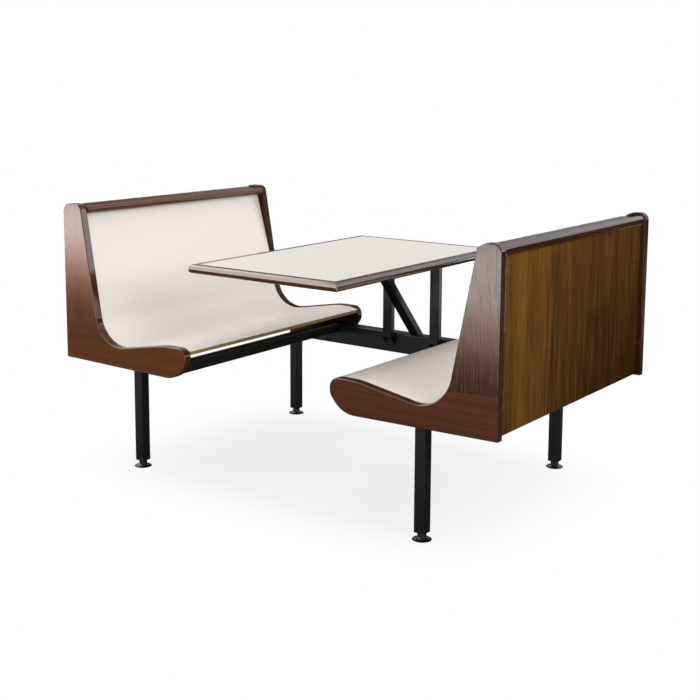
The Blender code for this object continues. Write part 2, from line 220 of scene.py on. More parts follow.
# stained open-grain oak, lacquered: dull pores in a soft sheen
def makeStainedOak(name, grain, batch="plain", tilt=0, gloss=0.35, pores=0.35, contrast=1.0,
                   edge=0.0, coarse=1.0, groove=0.05):
    dark, middle, light = oak[batch]
    material, tree, shader = newMaterial(name, {"Specular IOR Level": gloss})
    place = addNode(tree, "ShaderNodeTexCoord")
    turn = (0, math.radians(tilt), 0)
    ringScale = grainScale(grain, oak["ringWidth"], oak["ringLength"])
    poreScale = grainScale(grain, oak["poreWidth"] * coarse, oak["poreLength"])
    rings = addNode(tree, "ShaderNodeMapping", {"Scale": ringScale, "Rotation": turn},
                    {"Vector": place.outputs["Object"]})
    streaks = addNode(tree, "ShaderNodeMapping", {"Scale": poreScale, "Rotation": turn},
                      {"Vector": place.outputs["Object"]})
    ringNoise = addNode(tree, "ShaderNodeTexNoise",
                        {"Scale": 1.0, "Detail": 3.0, "Roughness": 0.55, "Distortion": 0.3},
                        {"Vector": rings.outputs["Vector"]})
    poreNoise = addNode(tree, "ShaderNodeTexNoise", {"Scale": 1.0, "Detail": 4.0, "Roughness": 0.6},
                        {"Vector": streaks.outputs["Vector"]})
    poreMask = addNode(tree, "ShaderNodeMapRange",
                       {"From Min": oak["poreStart"], "From Max": oak["poreOpen"]},
                       {"Value": poreNoise.outputs["Fac"]})
    color = addNode(tree, "ShaderNodeValToRGB", None, {"Fac": ringNoise.outputs["Fac"]})
    spread = oak["ringSpread"] / contrast
    setRamp(color, [(0.5 - spread, dark), (0.5, middle), (0.5 + spread, light)])
    wood = color.outputs["Color"]
    pore = poreMask.outputs["Result"]
    if edge:                                       # sawn edges are darker, with closed pores
        faces = addNode(tree, "ShaderNodeSeparateXYZ", None, {"Vector": place.outputs["Normal"]})
        broad = addNode(tree, "ShaderNodeMath", {"operation": "ABSOLUTE"}, {0: faces.outputs["Y"]})
        flat = addNode(tree, "ShaderNodeMapRange",
                       {"From Min": oak["edgeFull"], "From Max": oak["edgeNone"]},
                       {"Value": broad.outputs["Value"]})
        edgeShare = addNode(tree, "ShaderNodeMapRange", {"To Min": edge, "To Max": 0.0},
                            {"Value": flat.outputs["Result"]})
        wood = addNode(tree, "ShaderNodeMix", {"data_type": "RGBA", 7: hexLinear(oak["edge"])},
                       {0: edgeShare.outputs["Result"], 6: wood}).outputs[2]
        pore = addNode(tree, "ShaderNodeMath", {"operation": "MULTIPLY"},
                       {0: pore, 1: flat.outputs["Result"]}).outputs["Value"]
    poreShare = addNode(tree, "ShaderNodeMath", {"operation": "MULTIPLY", 1: pores}, {0: pore})
    stained = addNode(tree, "ShaderNodeMix", {"data_type": "RGBA", 7: hexLinear(dark)},
                      {0: poreShare.outputs["Value"], 6: wood})
    height = addNode(tree, "ShaderNodeMath", {"operation": "SUBTRACT"},
                     {0: ringNoise.outputs["Fac"], 1: pore})
    bump = addNode(tree, "ShaderNodeBump", {"Strength": groove, "Distance": oak["poreDepth"]},
                   {"Height": height.outputs["Value"]})
    shine = addNode(tree, "ShaderNodeMapRange",
                    {"To Min": oak["lacquer"], "To Max": oak["lacquer"] + oak["poreDull"] * pores},
                    {"Value": pore})
    tree.links.new(stained.outputs[2], shader.inputs["Base Color"])
    tree.links.new(shine.outputs["Result"], shader.inputs["Roughness"])
    tree.links.new(bump.outputs["Normal"], shader.inputs["Normal"])
    return material


walnut = {
    "tones": [(0.36, "#35220f"), (0.5, "#543719"), (0.67, "#744e22")],
    "layers": [                     # width, length, waviness, and share over the layers before
        (0.11, 1.6, 0.4, 1.0),      # broad change of tone from leaf to leaf
        (0.028, 0.30, 1.6, 0.45),   # upright figure
        (0.0038, 0.16, 0.2, 0.4),   # fine dark lines, drawn coarser than print to show
    ],
    "middle": (0, 0, 0.68),
    "paintedShading": (0, -0.19, 0.24),      # painted shade: darker towards the wall and the floor, lighter towards the aisle and the top
}


def makeWalnutLaminate():  # printed walnut laminate: soft upright figure, even satin face
    material, tree, shader = newMaterial("walnutLaminate", {"Roughness": 0.7, "Specular IOR Level": 0.0})
    place = addNode(tree, "ShaderNodeTexCoord")
    tone = None
    for width, length, bend, share in walnut["layers"]:
        grain = addNode(tree, "ShaderNodeMapping", {"Scale": grainScale("Z", width, length)},
                        {"Vector": place.outputs["Object"]})
        noise = addNode(tree, "ShaderNodeTexNoise", {"Scale": 1.0, "Detail": 3.0, "Distortion": bend},
                        {"Vector": grain.outputs["Vector"]})
        mixed = addNode(tree, "ShaderNodeMix", {0: share}, {3: noise.outputs["Fac"]})
        if tone:
            tree.links.new(tone, mixed.inputs[2])
        tone = mixed.outputs[0]
    # painted shade: the tone slopes darker away from the middle, towards the wall and the floor
    away = addNode(tree, "ShaderNodeVectorMath", {"operation": "SUBTRACT", 1: walnut["middle"]},
                   {0: place.outputs["Object"]})
    paintedShading = addNode(tree, "ShaderNodeVectorMath", {"operation": "DOT_PRODUCT", 1: walnut["paintedShading"]},
                    {0: away.outputs["Vector"]})
    leaf = addNode(tree, "ShaderNodeMath", {"operation": "ADD"}, {0: tone, 1: paintedShading.outputs["Value"]})
    color = addNode(tree, "ShaderNodeValToRGB", None, {"Fac": leaf.outputs["Value"]})
    setRamp(color, walnut["tones"])
    tree.links.new(color.outputs["Color"], shader.inputs["Base Color"])
    return material


cream = {
    "warp": "#ebe5de", "weft": "#e7e0d8",
    "thread": 0.0026, "wander": 1.2,    # linen threads drawn at 2.6 mm so that they show
    "relief": 0.08, "depth": 0.0002,
}


def makeCreamLaminate(name, first, second):  # melamine laminate with a printed linen weave, low sheen
    material, tree, shader = newMaterial(name, {"Roughness": 0.42})
    place = addNode(tree, "ShaderNodeTexCoord")
    scale = 2 * math.pi / cream["thread"] / 20    # the wave texture runs 20 radians a unit
    waves = []
    for axis in (first, second):
        waves.append(addNode(tree, "ShaderNodeTexWave",
                             {"bands_direction": axis, "Scale": scale, "Distortion": cream["wander"],
                              "Detail": 2.0, "Detail Scale": 1.5},
                             {"Vector": place.outputs["Object"]}))
    weave = addNode(tree, "ShaderNodeMath", {"operation": "MULTIPLY"},
                    {0: waves[0].outputs["Fac"], 1: waves[1].outputs["Fac"]})
    color = addNode(tree, "ShaderNodeMix",
                    {"data_type": "RGBA", 6: hexLinear(cream["warp"]), 7: hexLinear(cream["weft"])},
                    {0: weave.outputs["Value"]})
    bump = addNode(tree, "ShaderNodeBump", {"Strength": cream["relief"], "Distance": cream["depth"]},
                   {"Height": weave.outputs["Value"]})
    tree.links.new(color.outputs[2], shader.inputs["Base Color"])
    tree.links.new(bump.outputs["Normal"], shader.inputs["Normal"])
    return material


steel = {
    "coat": "#131413", "sheen": 0.18, "smooth": 0.3, "rough": 0.42,
    "peel": 0.0016,    # orange peel of the powder, real 0.8 mm, drawn coarser
    "relief": 0.12, "depth": 0.0002,
}


def makePowderSteel():  # black powder coat on mild steel: fine orange peel, soft broad highlights
    material, tree, shader = newMaterial("powderCoatedSteel", {"Base Color": hexLinear(steel["coat"]),
                                                               "Specular IOR Level": steel["sheen"]})
    place = addNode(tree, "ShaderNodeTexCoord")
    peel = addNode(tree, "ShaderNodeTexNoise", {"Scale": 1 / steel["peel"], "Detail": 1.0},
                   {"Vector": place.outputs["Object"]})
    bump = addNode(tree, "ShaderNodeBump", {"Strength": steel["relief"], "Distance": steel["depth"]},
                   {"Height": peel.outputs["Fac"]})
    shine = addNode(tree, "ShaderNodeMapRange", {"To Min": steel["smooth"], "To Max": steel["rough"]},
                    {"Value": peel.outputs["Fac"]})
    tree.links.new(bump.outputs["Normal"], shader.inputs["Normal"])
    tree.links.new(shine.outputs["Result"], shader.inputs["Roughness"])
    return material


ply = {
    "tones": [(0.25, "#7a6538"), (0.75, "#a78f58")],
    "veneer": 0.0016,                       # thickness
    "fibre": 0.00625, "fibreShare": 0.4,    # drawn coarser than real fibres to show
}


def makePlywood():  # bare edge of bent plywood: thin veneers, oiled by handling
    material, tree, shader = newMaterial("bentPlywood", {"Roughness": 0.55})
    depth = addNode(tree, "ShaderNodeUVMap", {"uv_map": "sheet"})
    split = addNode(tree, "ShaderNodeSeparateXYZ", None, {"Vector": depth.outputs["UV"]})
    wave = addNode(tree, "ShaderNodeMath", {"operation": "PINGPONG", 1: ply["veneer"]},
                   {0: split.outputs["Y"]})
    layer = addNode(tree, "ShaderNodeMapRange", {"From Max": ply["veneer"]},
                    {"Value": wave.outputs["Value"]})
    place = addNode(tree, "ShaderNodeTexCoord")
    fibre = addNode(tree, "ShaderNodeTexNoise", {"Scale": 1 / ply["fibre"], "Detail": 4.0},
                    {"Vector": place.outputs["Object"]})
    mixed = addNode(tree, "ShaderNodeMix", {0: ply["fibreShare"]},
                    {2: layer.outputs["Result"], 3: fibre.outputs["Fac"]})
    color = addNode(tree, "ShaderNodeValToRGB", None, {"Fac": mixed.outputs[0]})
    setRamp(color, ply["tones"])
    tree.links.new(color.outputs["Color"], shader.inputs["Base Color"])
    return material


pine = {
    "tones": [(0.35, "#8d6c45"), (0.65, "#b8956a")],
    "fibreWidth": 1 / 300, "fibreLength": 1 / 12,    # 3.3 by 83 mm, drawn coarser than real fibres to show
    "relief": 0.3, "depth": 0.0004,
}


def makeSawnWood():  # unfinished softwood inside the bench: pale, fuzzy, straight grain
    material, tree, shader = newMaterial("sawnPine", {"Roughness": 0.75})
    place = addNode(tree, "ShaderNodeTexCoord")
    grain = addNode(tree, "ShaderNodeMapping",
                    {"Scale": grainScale("Y", pine["fibreWidth"], pine["fibreLength"])},
                    {"Vector": place.outputs["Object"]})
    fibre = addNode(tree, "ShaderNodeTexNoise", {"Scale": 1.0, "Detail": 4.0},
                    {"Vector": grain.outputs["Vector"]})
    color = addNode(tree, "ShaderNodeValToRGB", None, {"Fac": fibre.outputs["Fac"]})
    setRamp(color, pine["tones"])
    bump = addNode(tree, "ShaderNodeBump", {"Strength": pine["relief"], "Distance": pine["depth"]},
                   {"Height": fibre.outputs["Fac"]})
    tree.links.new(color.outputs["Color"], shader.inputs["Base Color"])
    tree.links.new(bump.outputs["Normal"], shader.inputs["Normal"])
    return material


chips = {"tones": [(0.2, "#7b5f3d"), (0.8, "#b39367")], "flake": 0.005}


def makeChipboard():  # chipboard core: pressed flakes of mixed browns
    material, tree, shader = newMaterial("chipboard", {"Roughness": 0.8})
    place = addNode(tree, "ShaderNodeTexCoord")
    flakes = addNode(tree, "ShaderNodeTexVoronoi", {"Scale": 1 / chips["flake"]},
                     {"Vector": place.outputs["Object"]})
    color = addNode(tree, "ShaderNodeValToRGB", None, {"Fac": flakes.outputs["Color"]})
    setRamp(color, chips["tones"])
    tree.links.new(color.outputs["Color"], shader.inputs["Base Color"])
    return material


nickel = {"plate": "#6f6f6c", "dust": 1 / 180, "bright": 0.14, "dull": 0.34}    # patches of 5.6 mm


def makeNickelSteel():  # bright nickel plate on a pressed steel foot, dulled in patches by floor dust
    material, tree, shader = newMaterial("nickelPlatedSteel", {"Base Color": hexLinear(nickel["plate"]),
                                                               "Metallic": 1.0})
    place = addNode(tree, "ShaderNodeTexCoord")
    dust = addNode(tree, "ShaderNodeTexNoise", {"Scale": 1 / nickel["dust"], "Detail": 4.0},
                   {"Vector": place.outputs["Object"]})
    shine = addNode(tree, "ShaderNodeMapRange", {"To Min": nickel["bright"], "To Max": nickel["dull"]},
                    {"Value": dust.outputs["Fac"]})
    tree.links.new(shine.outputs["Result"], shader.inputs["Roughness"])
    return material


nylon = {
    "tone": "#161616", "relief": 0.1, "depth": 0.0001,
    "grit": 1 / 900,    # 1.1 mm, drawn coarser than real mould grain to show
}


def makeBlackNylon():  # moulded nylon insert: matte black with a faint mould grain
    material, tree, shader = newMaterial("mouldedNylon", {"Base Color": hexLinear(nylon["tone"]),
                                                          "Roughness": 0.5})
    place = addNode(tree, "ShaderNodeTexCoord")
    grit = addNode(tree, "ShaderNodeTexNoise", {"Scale": 1 / nylon["grit"]},
                   {"Vector": place.outputs["Object"]})
    bump = addNode(tree, "ShaderNodeBump", {"Strength": nylon["relief"], "Distance": nylon["depth"]},
                   {"Height": grit.outputs["Fac"]})
    tree.links.new(bump.outputs["Normal"], shader.inputs["Normal"])
    return material


# painted light: the left panels take the lighter warm copy of the stain
warmPaintedLightOak = makeStainedOak("stainedOakWarmPaintedLight", "Z", "warm", contrast=0.6, edge=0.7)
warmPaintedLightSeatOak = makeStainedOak("stainedOakWarmPaintedLightSeat", "X", "warm", 8, gloss=0.25, contrast=0.5, edge=0.7)
# painted shade: the right stile, the wall panels, the right cap and the table's cross nosings take the
# darker deep copy
boldPaintedShadeOak = makeStainedOak("stainedOakBoldPaintedShade", "Z", "deep", 2, gloss=0.315, pores=0.9, edge=0.1,
                         coarse=1.7, groove=0.35)
seatOak = makeStainedOak("stainedOakSeat", "X", "red", -8, gloss=0.25, contrast=0.4, edge=0.7)
dullPaintedShadeOak = makeStainedOak("stainedOakDullPaintedShade", "Z", "deep", gloss=0.06, edge=0.3)
dullPaintedShadeSeatOak = makeStainedOak("stainedOakDullPaintedShadeSeat", "X", "deep", gloss=0.06, edge=0.3)
rightCapPaintedShadeOak = makeStainedOak("stainedOakRightCapPaintedShade", "Y", "deep", gloss=0.3)
leftCapOak = makeStainedOak("stainedOakLeftCap", "Y", gloss=0.24)
tableCrossPaintedShadeOak = makeStainedOak("stainedOakTableCrossPaintedShade", "Y", "deep", gloss=0.68)
tableLengthOak = makeStainedOak("stainedOakTableLength", "X", gloss=0.5)
walnutLaminate = makeWalnutLaminate()
backCream = makeCreamLaminate("creamLaminateShell", "Y", "Z")
tableCream = makeCreamLaminate("creamLaminateTable", "X", "Y")
powderSteel = makePowderSteel()
plywood = makePlywood()
sawnWood = makeSawnWood()
chipboard = makeChipboard()
nickelSteel = makeNickelSteel()
blackNylon = makeBlackNylon()
print("materials made")


# pieces that keep their CAD shape

steelEnds = ("_leg", "_rail", "_tie", "beam", "_post", "brace", "_plate")
for name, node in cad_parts.items():
    if name.endswith(("_cleat", "_batten")):
        finish = sawnWood
    elif name.endswith("_back_panel"):
        finish = walnutLaminate
    elif name.endswith("_plug"):
        finish = blackNylon
    elif name == "table_core":
        finish = chipboard
    elif name == "table_laminate":
        finish = tableCream
    elif name.endswith(steelEnds) and not name.endswith("cap_rail"):
        finish = powderSteel
    else:
        continue
    for slot in node.material_slots:
        slot.material = finish
print("CAD pieces dressed")


# end panels: one sawn outline, rounded, then cut in two along the glue line

panel = {  # corners are (x, z, radius), from the back's foot over the head and the seat to the nose
    "foot": (0.873, 0.368, 0.0),
    "head": {  # the right bench ends in a full low arch, the left one in two rounded corners
        1: [(0.873, 0.9175, 0.025), (0.8215, 0.9175, 0.052), (0.7969, 0.9033, 0.0215)],
        -1: [(0.873, 0.9175, 0.031), (0.788, 0.9175, 0.026)],
    },
    "bight": (0.699, 0.4157, 0.115), "crest": (0.395, 0.4695, 0.250),
    "nose": [(0.297, 0.4695, 0.032), (0.297, 0.418, 0.036), (0.340, 0.361, 0.095)],
    "outerY": 0.5, "thickness": 0.029, "edgeRadius": 0.003, "edgeSegments": 5,
    "glueFront": (0.713, 0.488), "glueBack": (0.873, 0.500), "glueGap": 0.0003, "splitX": 0.60,
    # painted light and shade: a lighter copy for the left bench, darker copies for the right stile and the
    # wall panels
    "oak": {"right": (boldPaintedShadeOak, seatOak), "left": (warmPaintedLightOak, warmPaintedLightSeatOak), "wall": (dullPaintedShadeOak, dullPaintedShadeSeatOak)},
}


def panelOutline(side):
    corners = [panel["foot"], *panel["head"][side], panel["bight"], panel["crest"], *panel["nose"]]
    return mirrorLine(roundLine(corners), side)


def makePanel(bench, side, place, yOuter, yInner):
    whole = extrudedBoard(bench + "_" + place + "_stile_board", panelOutline(side), yOuter, yInner)
    roundRims(whole, panel["edgeRadius"], panel["edgeSegments"])
    lower = copyPiece(whole, bench + "_" + place + "_seat_board_board")
    front = Vector((side * panel["glueFront"][0], 0, panel["glueFront"][1]))
    back = Vector((side * panel["glueBack"][0], 0, panel["glueBack"][1]))
    up = Vector((-(back - front).z, 0, (back - front).x)).normalized()
    if up.z < 0:
        up.negate()
    half = up * panel["glueGap"] / 2
    split = (side * panel["splitX"], 0, 0)
    backward = (side, 0, 0)

    bpy.ops.object.mode_set(mode="EDIT")    # upper board: everything above the glue line
    cutAll(front + half, up, use_fill=True, clear_inner=True)
    cutAll(split, backward, clear_inner=True)
    bpy.ops.object.mode_set(mode="OBJECT")

    pick(lower)                             # lower board: cut only behind the seat
    bpy.ops.object.mode_set(mode="EDIT")
    cutAll(split, backward)
    selectFaces(lower, lambda middle: side * middle.x > panel["splitX"])
    bpy.ops.mesh.bisect(plane_co=front - half, plane_no=up, use_fill=True, clear_outer=True)
    bpy.ops.object.mode_set(mode="OBJECT")
    upper, under = panel["oak"][bench if place == "aisle" else place]
    finishPiece(whole, upper, "frame", [bench + "_" + place + "_stile"])
    finishPiece(lower, under, "frame", [bench + "_" + place + "_seat_board"])


for bench, side in benches:
    inner = panel["outerY"] - panel["thickness"]
    makePanel(bench, side, "aisle", -panel["outerY"], -inner)
    makePanel(bench, side, "wall", panel["outerY"], inner)
print("end panels made")


# seat and back shell: bent plywood with a laminate face

shell = {
    "halfWidth": 0.4707, "thickness": 0.014, "laminate": 0.0012, "gap": 0.0003,
    "arcStep": 3,    # degrees
    "line": [  # sitting face from under the cap to the front edge, (x, z, radius)
        (0.8093, 0.8827, 0.0), (0.7453, 0.655, 0.8), (0.699, 0.4137, 0.115),
        (0.395, 0.4667, 0.25), (0.3345, 0.4667, 0.08), (0.2995, 0.4590, 0.0),
    ],
}


def spotKey(x, z):  # to a hundredth of a millimetre
    return round(x, 5), round(z, 5)


def bentSheet(name, side, near, far):
    line = roundLine(shell["line"], closed=False, arcStep=math.radians(shell["arcStep"]))
    face = offsetLine(line, near)
    hidden = offsetLine(line, far)
    outline = mirrorLine(face + hidden[::-1], side)
    sheet = extrudedBoard(name, outline, -shell["halfWidth"], shell["halfWidth"])
    run = [0.0]
    for a, b in zip(line, line[1:]):
        run.append(run[-1] + (b - a).length)
    table = {}
    for points, depth in ((face, near), (hidden, far)):
        for point, along in zip(points, run):
            table[spotKey(side * point.x, point.y)] = (along, depth)
    layer = sheet.data.uv_layers.new(name="sheet")    # u along the bend, v through the thickness
    for loop in sheet.data.loops:
        spot = sheet.data.vertices[loop.vertex_index].co
        layer.data[loop.index].uv = table[spotKey(spot.x, spot.z)]
    return sheet


for bench, side in benches:
    face = bentSheet(bench + "_shell_face", side, 0.0, shell["laminate"])
    finishPiece(face, backCream, "frame", [bench + "_shell_laminate"])
    core = bentSheet(bench + "_shell_core", side, shell["laminate"] + shell["gap"], shell["thickness"])
    finishPiece(core, plywood, "frame", [bench + "_shell_ply"])
print("shells made")


# cap rails

cap = {
    "front": 0.7793, "back": 0.868, "low": 0.883, "high": 0.912, "halfLength": 0.4707,
    "foot": 0.001, "rear": 0.013, "nose": {1: 0.0088, -1: 0.0118},    # radii
    "fall": {1: 0.0105, -1: 0.004},    # the right cap falls forward with its arched heads
    "oak": {1: rightCapPaintedShadeOak, -1: leftCapOak},
}

for bench, side in benches:
    nose = cap["nose"][side]
    corners = [(cap["back"], cap["low"], cap["foot"]), (cap["back"], cap["high"], cap["rear"]),
               (cap["front"], cap["high"] - cap["fall"][side], nose), (cap["front"], cap["low"], nose)]
    outline = mirrorLine(roundLine(corners), side)
    rail = extrudedBoard(bench + "_cap", outline, -cap["halfLength"], cap["halfLength"])
    finishPiece(rail, cap["oak"][side], "frame", [bench + "_cap_rail"])
print("cap rails made")


# table edge: round-nosed strips, mitred at the corners

nosing = {
    "width": 0.610, "length": 0.9745, "farY": 0.5, "strip": 0.025, "high": 0.7500, "deep": 0.030,
    "roundness": 0.998,                                 # share of a full half-round
    "corner": 0.008, "cornerCuts": (11, 22, 33, 44),    # rounded in plan, degrees
    "mitreGap": 0.00015, "onPlane": 1e-5,
    "ease": 0.0008, "easeSegments": 3, "easeStart": 0.012,    # only the mitre's outer edges are eased
}


def makeEdge(name, length, middle, turn, material, node):
    half = nosing["deep"] / 2
    mid = nosing["high"] - half
    width = nosing["strip"]
    radius = half * nosing["roundness"]
    corners = [(0, mid - half, 0.0), (width, mid - half, radius), (width, mid + half, radius),
               (0, mid + half, 0.0)]
    reach = length / 2
    mitreY = reach - nosing["mitreGap"]
    strip = extrudedBoard(name, roundLine(corners), -reach, reach)    # runs along Y, nose towards +X
    bpy.ops.object.mode_set(mode="EDIT")
    for end in (1, -1):
        cutAll((width, end * mitreY, 0), (-1, end, 0), use_fill=True, clear_outer=True)
        pivot = Vector((width - nosing["corner"], end * (reach - nosing["corner"]), 0))
        for angle in nosing["cornerCuts"]:
            way = Vector((math.cos(math.radians(angle)), end * math.sin(math.radians(angle)), 0))
            cutAll(pivot + way * nosing["corner"], way, use_fill=True, clear_outer=True)
    bpy.ops.object.mode_set(mode="OBJECT")

    def onMitre(spot):
        return abs(abs(spot.y) - mitreY - (spot.x - width)) < nosing["onPlane"]

    def outerMitre(a, b):
        return onMitre(a) and onMitre(b) and a.y * b.y > 0 and max(a.x, b.x) > nosing["easeStart"]

    selectEdges(strip, outerMitre)
    bpy.ops.mesh.bevel(offset=nosing["ease"], segments=nosing["easeSegments"], affect="EDGES",
                       clamp_overlap=True)
    bpy.ops.object.mode_set(mode="OBJECT")
    strip.data.transform(Matrix.Translation((*middle, 0)) @ Matrix.Rotation(turn, 4, "Z"))
    finishPiece(strip, material, "frame", [node])


innerX = nosing["width"] / 2 - nosing["strip"]
nearY = nosing["farY"] - nosing["length"] + nosing["strip"]
wallY = nosing["farY"] - nosing["strip"]
midY = nosing["farY"] - nosing["length"] / 2
quarter = math.pi / 2
makeEdge("table_right_nosing", nosing["length"], (innerX, midY), 0, tableCrossPaintedShadeOak, "table_right_edge")
makeEdge("table_left_nosing", nosing["length"], (-innerX, midY), math.pi, tableCrossPaintedShadeOak, "table_left_edge")
makeEdge("table_wall_nosing", nosing["width"], (0, wallY), quarter, tableLengthOak, "table_wall_edge")
makeEdge("table_aisle_nosing", nosing["width"], (0, nearY), -quarter, tableLengthOak, "table_aisle_edge")
print("table edge made")


# levelling glides

glide = {
    "legX": 0.583, "aisleY": -0.4207, "wallY": 0.4434, "sides": 48, "disc": 0.030,
    # the lip's points are steps in from the disc's rim, with heights
    "lip": [(0.0015, 0.0), (0.0004, 0.0005), (0.0, 0.0015), (0.0004, 0.0025), (0.0015, 0.003)],
    "slope": [(0.026, 0.0042), (0.021, 0.0059), (0.017, 0.0069)],    # radius and height
    "hub": 0.014, "hubLow": 0.0075, "hubTop": 0.0237, "hubEase": 0.0008,
    "screw": 0.005, "screwTop": 0.064, "screwEase": 0.001,
}


def glideRings():  # radius and height, from the floor up
    hub = glide["hub"]
    low = glide["hubLow"]
    top = glide["hubTop"]
    ease = glide["hubEase"]
    screw = glide["screw"]
    tip = glide["screwTop"]
    lip = [(glide["disc"] - step, z) for step, z in glide["lip"]]
    return [*lip, *glide["slope"],
            (hub + ease, low), (hub, low + ease), (hub, top - ease), (hub - ease, top),
            (screw, top), (screw, tip - glide["screwEase"]), (screw - glide["screwEase"], tip)]


def makeGlide(name, x, y, node):
    deselectAll()
    rings = glideRings()
    radius, z = rings[0]
    bpy.ops.mesh.primitive_circle_add(vertices=glide["sides"], radius=radius, location=(x, y, z),
                                      fill_type="NGON")
    foot = bpy.context.object
    foot.name = name
    bpy.ops.object.mode_set(mode="EDIT")
    bpy.ops.mesh.select_all(action="SELECT")
    for nextRadius, nextZ in rings[1:]:
        bpy.ops.mesh.extrude_region_move(TRANSFORM_OT_translate={"value": (0, 0, nextZ - z)})
        share = nextRadius / radius
        bpy.ops.transform.resize(value=(share, share, 1), center_override=(x, y, nextZ))
        radius, z = nextRadius, nextZ
    bpy.ops.mesh.select_all(action="SELECT")
    bpy.ops.mesh.normals_make_consistent(inside=False)
    bpy.ops.object.mode_set(mode="OBJECT")
    bpy.ops.object.transform_apply(location=True, rotation=True, scale=True)
    finishPiece(foot, nickelSteel, node, [node], angle=30)


for bench, side in benches:
    for place, y in (("aisle", glide["aisleY"]), ("wall", glide["wallY"])):
        makeGlide(bench + "_" + place + "_foot", side * glide["legX"], y, bench + "_" + place + "_glide")
print("glides made")


# stage, light and camera

white = (1, 1, 1, 1)
stage = {
    "floor": "#cfcfcf", "floorSize": 40, "fill": 0.38,
    "cardBlack": "#0c0c0c",
    "shadowX": 0.68, "shadowY": 0.50, "squareness": 4.0,    # painted shadow: a rounded oblong between the feet where the floor's own shading shows
    "shadowShare": 0.18, "shadowStart": 0.7, "shadowEnd": 1.35,
}


def seenDirectly(tree):  # 1 for camera, glossy and transmission rays
    path = addNode(tree, "ShaderNodeLightPath")
    either = addNode(tree, "ShaderNodeMath", {"operation": "MAXIMUM"},
                     {0: path.outputs["Is Camera Ray"], 1: path.outputs["Is Glossy Ray"]})
    seen = addNode(tree, "ShaderNodeMath", {"operation": "MAXIMUM"},
                   {0: either.outputs["Value"], 1: path.outputs["Is Transmission Ray"]})
    return seen.outputs["Value"]


def makeFloor():  # white floor with a painted shadow: a share of its real shading shows only inside an oblong between the four feet
    deselectAll()
    bpy.ops.mesh.primitive_plane_add(size=stage["floorSize"], location=(0, 0, 0))
    floor = bpy.context.object
    floor.name = "studio_floor"
    material, tree, shader = newMaterial("paleFloor", {"Base Color": hexLinear(stage["floor"]),
                                                       "Roughness": 0.9, "Specular IOR Level": 0.0})
    place = addNode(tree, "ShaderNodeTexCoord")
    share = addNode(tree, "ShaderNodeMapping",
                    {"Scale": (1 / stage["shadowX"], 1 / stage["shadowY"], 1)},
                    {"Vector": place.outputs["Object"]})
    axes = addNode(tree, "ShaderNodeSeparateXYZ", None, {"Vector": share.outputs["Vector"]})
    power = stage["squareness"]
    across = addNode(tree, "ShaderNodeMath", {"operation": "POWER", 1: power}, {0: axes.outputs["X"]})
    along = addNode(tree, "ShaderNodeMath", {"operation": "POWER", 1: power}, {0: axes.outputs["Y"]})
    both = addNode(tree, "ShaderNodeMath", {"operation": "ADD"},
                   {0: across.outputs["Value"], 1: along.outputs["Value"]})
    reach = addNode(tree, "ShaderNodeMath", {"operation": "POWER", 1: 1 / power},
                    {0: both.outputs["Value"]})
    # painted shadow: inside the oblong a share of the real shading shows, outside the camera sees plain
    # white
    paintedShadowMask = addNode(tree, "ShaderNodeMapRange",
                    {"interpolation_type": "SMOOTHSTEP", "To Min": 1 - stage["shadowShare"], "To Max": 1.0,
                     "From Min": stage["shadowStart"], "From Max": stage["shadowEnd"]},
                    {"Value": reach.outputs["Value"]})
    lit = addNode(tree, "ShaderNodeMath", {"operation": "MULTIPLY"},
                  {0: paintedShadowMask.outputs["Result"], 1: seenDirectly(tree)})
    glow = addNode(tree, "ShaderNodeEmission", {"Color": white, "Strength": 1.0})
    mix = addNode(tree, "ShaderNodeMixShader", None,
                  {0: lit.outputs["Value"], 1: shader.outputs[0], 2: glow.outputs[0]})
    tree.links.new(mix.outputs[0], tree.nodes["Material Output"].inputs["Surface"])
    floor.data.materials.append(material)


def makeWorld():  # white where it is seen, a soft fill where it only lights
    world = bpy.data.worlds.new("studio")
    bpy.context.scene.world = world
    world.use_nodes = True
    tree = world.node_tree
    fill = tree.nodes["Background"]
    fill.inputs["Color"].default_value = white
    fill.inputs["Strength"].default_value = stage["fill"]
    bright = addNode(tree, "ShaderNodeBackground", {"Color": white, "Strength": 1.0})
    mix = addNode(tree, "ShaderNodeMixShader", None,
                  {0: seenDirectly(tree), 1: fill.outputs[0], 2: bright.outputs[0]})
    tree.links.new(mix.outputs[0], tree.nodes["World Output"].inputs["Surface"])


def glossyOnly(piece, name):  # unseen itself, only shows as a reflection
    piece.name = name
    piece.visible_camera = False
    piece.visible_diffuse = False
    piece.visible_shadow = False


cloth = {
    "leftX": -8.2, "rightX": 8.0, "farY": -7.2, "backY": 4.6, "high": 0.004,
    "near": 2.0, "far": 4.6,    # it starts to glow at near and is brightest at far
    "skew": 0.10, "level": 13.2,
    "rise": [(0.13, 0.02), (0.25, 0.17), (0.32, 0.26), (0.39, 0.41),
             (0.48, 0.47), (0.56, 0.70), (0.87, 0.96)],
    "tint": [(0.0, "#ff9f6c"), (0.4, "#ffd0bc"), (0.62, "#ffcdb8"), (0.95, "#fff4f2")],
}


